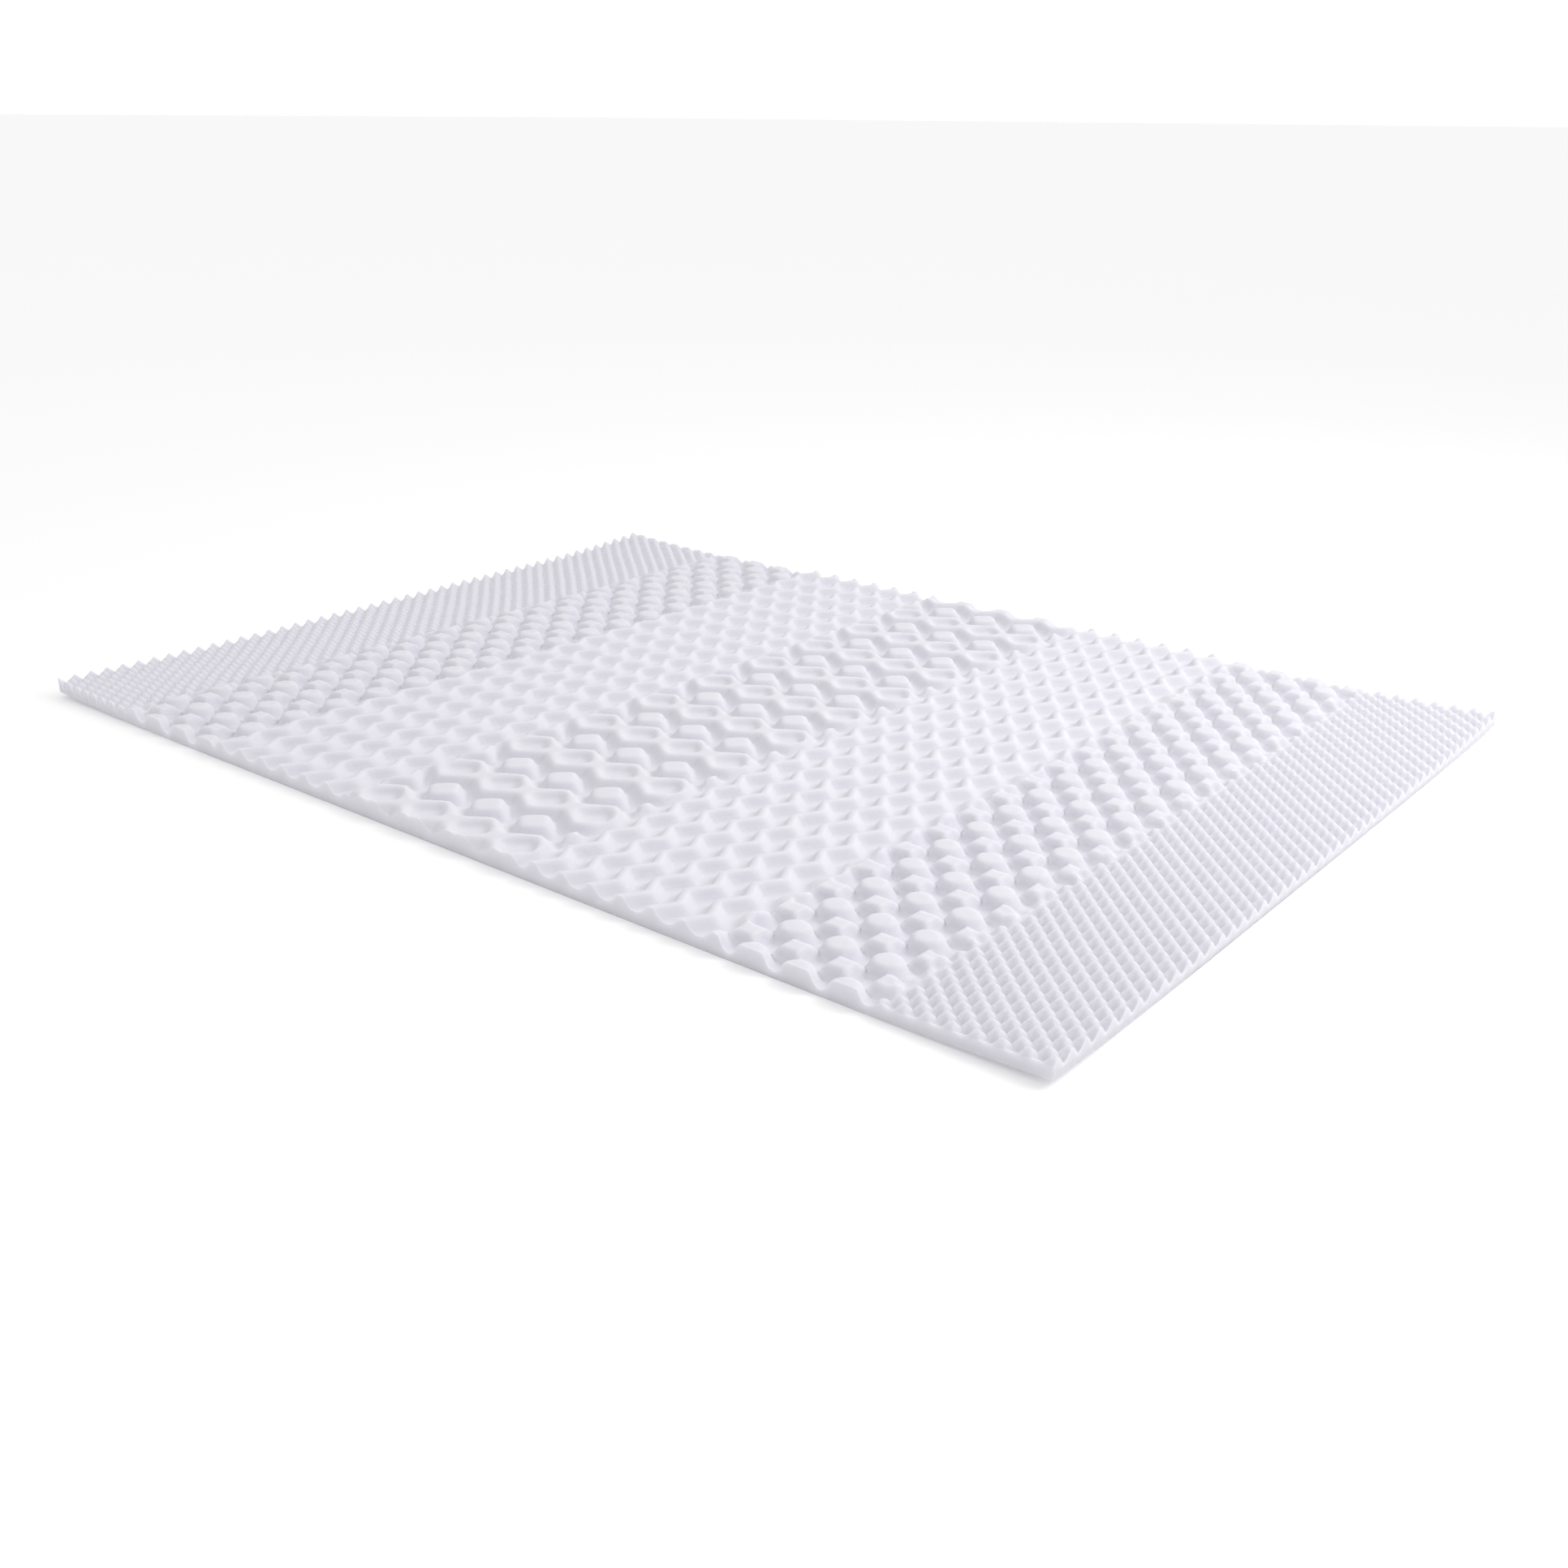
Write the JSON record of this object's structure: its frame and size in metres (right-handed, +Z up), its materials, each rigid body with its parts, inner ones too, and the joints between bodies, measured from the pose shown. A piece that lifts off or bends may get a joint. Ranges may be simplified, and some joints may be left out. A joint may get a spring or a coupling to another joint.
{
  "type": "mattress topper",
  "caption": "Flat rectangular foam mattress topper with a convoluted top: fine points, domes, zigzag ridges and rings with flat blocks in mirrored zones along its length.",
  "frame": {"origin": "centre of the length and width, on the surface that the flat underside rests on", "axes": "+X along the length towards the right end in the picture, +Y across the width towards the far side, +Z up through the relief"},
  "size_m": [1.91, 1.393, 0.0347],
  "materials": {
    "foam_white": "matte open-cell polyurethane foam, white with a faint lavender tint"
  },
  "bodies": {
    "root": {"foam_slab": "foam_white"}
  },
  "joints": []
}
